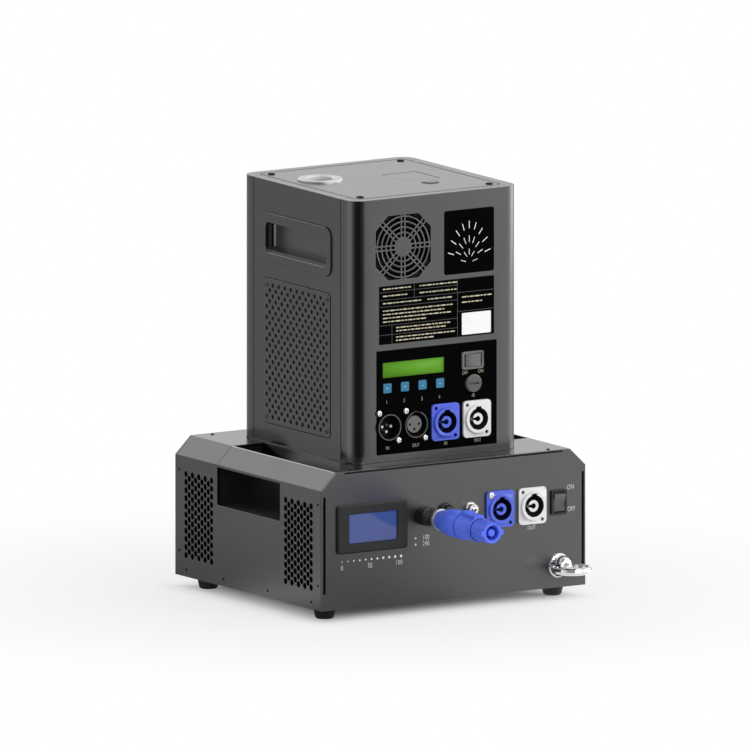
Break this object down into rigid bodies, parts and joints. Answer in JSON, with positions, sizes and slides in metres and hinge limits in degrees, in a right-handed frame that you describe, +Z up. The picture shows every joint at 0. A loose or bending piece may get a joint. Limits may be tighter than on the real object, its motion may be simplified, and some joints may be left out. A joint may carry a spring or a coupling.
{
  "type": "cold spark machine",
  "caption": "Cold spark fountain: square tower with top nozzle, hopper hatch, fan grille, control panel and side handles, on a wider battery base with carrying grips and meter.",
  "frame": {"origin": "on the ground under the middle of the whole machine, plug included", "axes": "+Z up; the control and connector panels face -Y; +X is to the right of someone looking at them"},
  "size_m": [0.26, 0.336, 0.3496],
  "materials": {
    "paint": "satin dark grey",
    "panel_black": "matt",
    "rubber": "matt",
    "black_plastic": "satin",
    "grey_plastic": "satin",
    "blue_plastic": "satin",
    "white_plastic": "satin",
    "key_blue": "gloss",
    "screen_green": "gloss",
    "screen_blue": "gloss",
    "chrome": "polished",
    "steel": "brushed",
    "aluminium": "satin",
    "board": "matt",
    "cell_wrap": "satin"
  },
  "bodies": {
    "base": {"base_cover": "paint", "base_front_panel": "paint", "base_rear_panel": "paint", "base_floor": "paint", "grip_pocket_left": "black_plastic", "grip_pocket_right": "black_plastic", "foot_front_left": "rubber", "foot_front_right": "rubber", "foot_rear_left": "rubber", "foot_rear_right": "rubber", "battery_pack": "cell_wrap", "inverter_unit": "aluminium", "meter_bezel": "black_plastic", "meter_screen": "screen_blue", "base_power_inlet": "blue_plastic", "base_power_outlet": "white_plastic", "base_switch_frame": "black_plastic", "test_button_collar": "steel", "charge_jack": "chrome", "output_gland": "black_plastic", "eye_mount": "chrome"},
    "tower": {"tower_front_shell": "paint", "tower_rear_shell": "paint", "tower_left_panel": "paint", "tower_right_panel": "paint", "tower_floor": "paint", "tower_top_plate": "paint", "vent_plate_left": "paint", "vent_plate_right": "paint", "handle_cup_left": "paint", "handle_cup_right": "paint", "fan_frame": "black_plastic", "control_panel": "panel_black", "display": "screen_green", "tower_switch_frame": "black_plastic", "signal_in_socket": "black_plastic", "signal_out_socket": "black_plastic", "tower_power_inlet": "blue_plastic", "tower_power_outlet": "white_plastic", "nozzle_ring": "chrome", "heating_chamber": "steel", "hopper": "steel", "feed_motor": "steel", "main_board": "board"},
    "base_rocker": {"base_rocker": "black_plastic"},
    "test_button": {"test_button": "black_plastic"},
    "coupling_ring": {"coupling_ring": "chrome"},
    "plug": {"plug_body": "blue_plastic"},
    "plug_latch": {"plug_latch": "blue_plastic"},
    "eye_ring": {"eye_ring": "chrome"},
    "tower_rocker": {"tower_rocker": "grey_plastic"},
    "menu_button_1": {"menu_button_1": "key_blue"},
    "menu_button_2": {"menu_button_2": "key_blue"},
    "menu_button_3": {"menu_button_3": "key_blue"},
    "menu_button_4": {"menu_button_4": "key_blue"},
    "fuse_cap": {"fuse_cap": "black_plastic"},
    "hatch_lid": {"hatch_lid": "paint"},
    "hatch_latch": {"hatch_latch": "steel"},
    "feed_screw": {"feed_screw": "steel"},
    "fan_rotor": {"fan_rotor": "black_plastic"}
  },
  "joints": [
    {"name": "tower_lift", "type": "slide", "parent": "base", "child": "tower", "axis": [0, 0, 1], "range_m": [0, 0.06]},
    {"name": "base_rocker_tilt", "type": "hinge", "parent": "base", "child": "base_rocker", "pos_m": [0.1032, -0.0585, 0.082], "axis": [-1, 0, 0], "range_deg": [0, 16.04]},
    {"name": "tower_rocker_tilt", "type": "hinge", "parent": "tower", "child": "tower_rocker", "pos_m": [0.0342, -0.033, 0.2048], "axis": [0, 0, 1], "range_deg": [0, 16.04]},
    {"name": "menu_button_1_press", "type": "slide", "parent": "tower", "child": "menu_button_1", "axis": [0, 1, 0], "range_m": [0, 0.001], "stiffness_N_per_m": 400, "springref_m": -0.0006},
    {"name": "menu_button_2_press", "type": "slide", "parent": "tower", "child": "menu_button_2", "axis": [0, 1, 0], "range_m": [0, 0.001], "stiffness_N_per_m": 400, "springref_m": -0.0006},
    {"name": "menu_button_3_press", "type": "slide", "parent": "tower", "child": "menu_button_3", "axis": [0, 1, 0], "range_m": [0, 0.001], "stiffness_N_per_m": 400, "springref_m": -0.0006},
    {"name": "menu_button_4_press", "type": "slide", "parent": "tower", "child": "menu_button_4", "axis": [0, 1, 0], "range_m": [0, 0.001], "stiffness_N_per_m": 400, "springref_m": -0.0006},
    {"name": "test_button_press", "type": "slide", "parent": "base", "child": "test_button", "axis": [0, 1, 0], "range_m": [0, 0.0018], "stiffness_N_per_m": 400, "springref_m": -0.0008},
    {"name": "fuse_cap_turn", "type": "hinge", "parent": "tower", "child": "fuse_cap", "pos_m": [0.0348, -0.036, 0.1853], "axis": [0, -1, 0], "range_deg": [0, 60]},
    {"name": "coupling_ring_turn", "type": "hinge", "parent": "base", "child": "coupling_ring", "pos_m": [-0.03, -0.087, 0.0828], "axis": [0, -1, 0], "continuous": true},
    {"name": "plug_pull", "type": "slide", "parent": "base", "child": "plug", "axis": [0, -1, 0], "range_m": [0, 0.03]},
    {"name": "plug_latch_draw", "type": "slide", "parent": "plug", "child": "plug_latch", "axis": [0, 1, 0], "range_m": [0, 0.0024], "stiffness_N_per_m": 400, "springref_m": -0.001},
    {"name": "eye_ring_swing", "type": "hinge", "parent": "base", "child": "eye_ring", "pos_m": [0.1039, -0.0654, 0.0276], "axis": [1, 0, 0], "range_deg": [-75, 88]},
    {"name": "hatch_lid_open", "type": "hinge", "parent": "tower", "child": "hatch_lid", "pos_m": [0.029, 0.0712, 0.348], "axis": [-1, 0, 0], "range_deg": [0, 105]},
    {"name": "hatch_latch_turn", "type": "hinge", "parent": "tower", "child": "hatch_latch", "pos_m": [0.0279, 0.02, 0.348], "axis": [0, 0, 1], "range_deg": [0, 90]},
    {"name": "feed_screw_spin", "type": "hinge", "parent": "tower", "child": "feed_screw", "pos_m": [0.029, 0.0522, 0.268], "axis": [-0.9449, 0.3274, 0], "continuous": true},
    {"name": "fan_spin", "type": "hinge", "parent": "tower", "child": "fan_rotor", "pos_m": [-0.033, -0.041, 0.306], "axis": [0, -1, 0], "continuous": true}
  ]
}
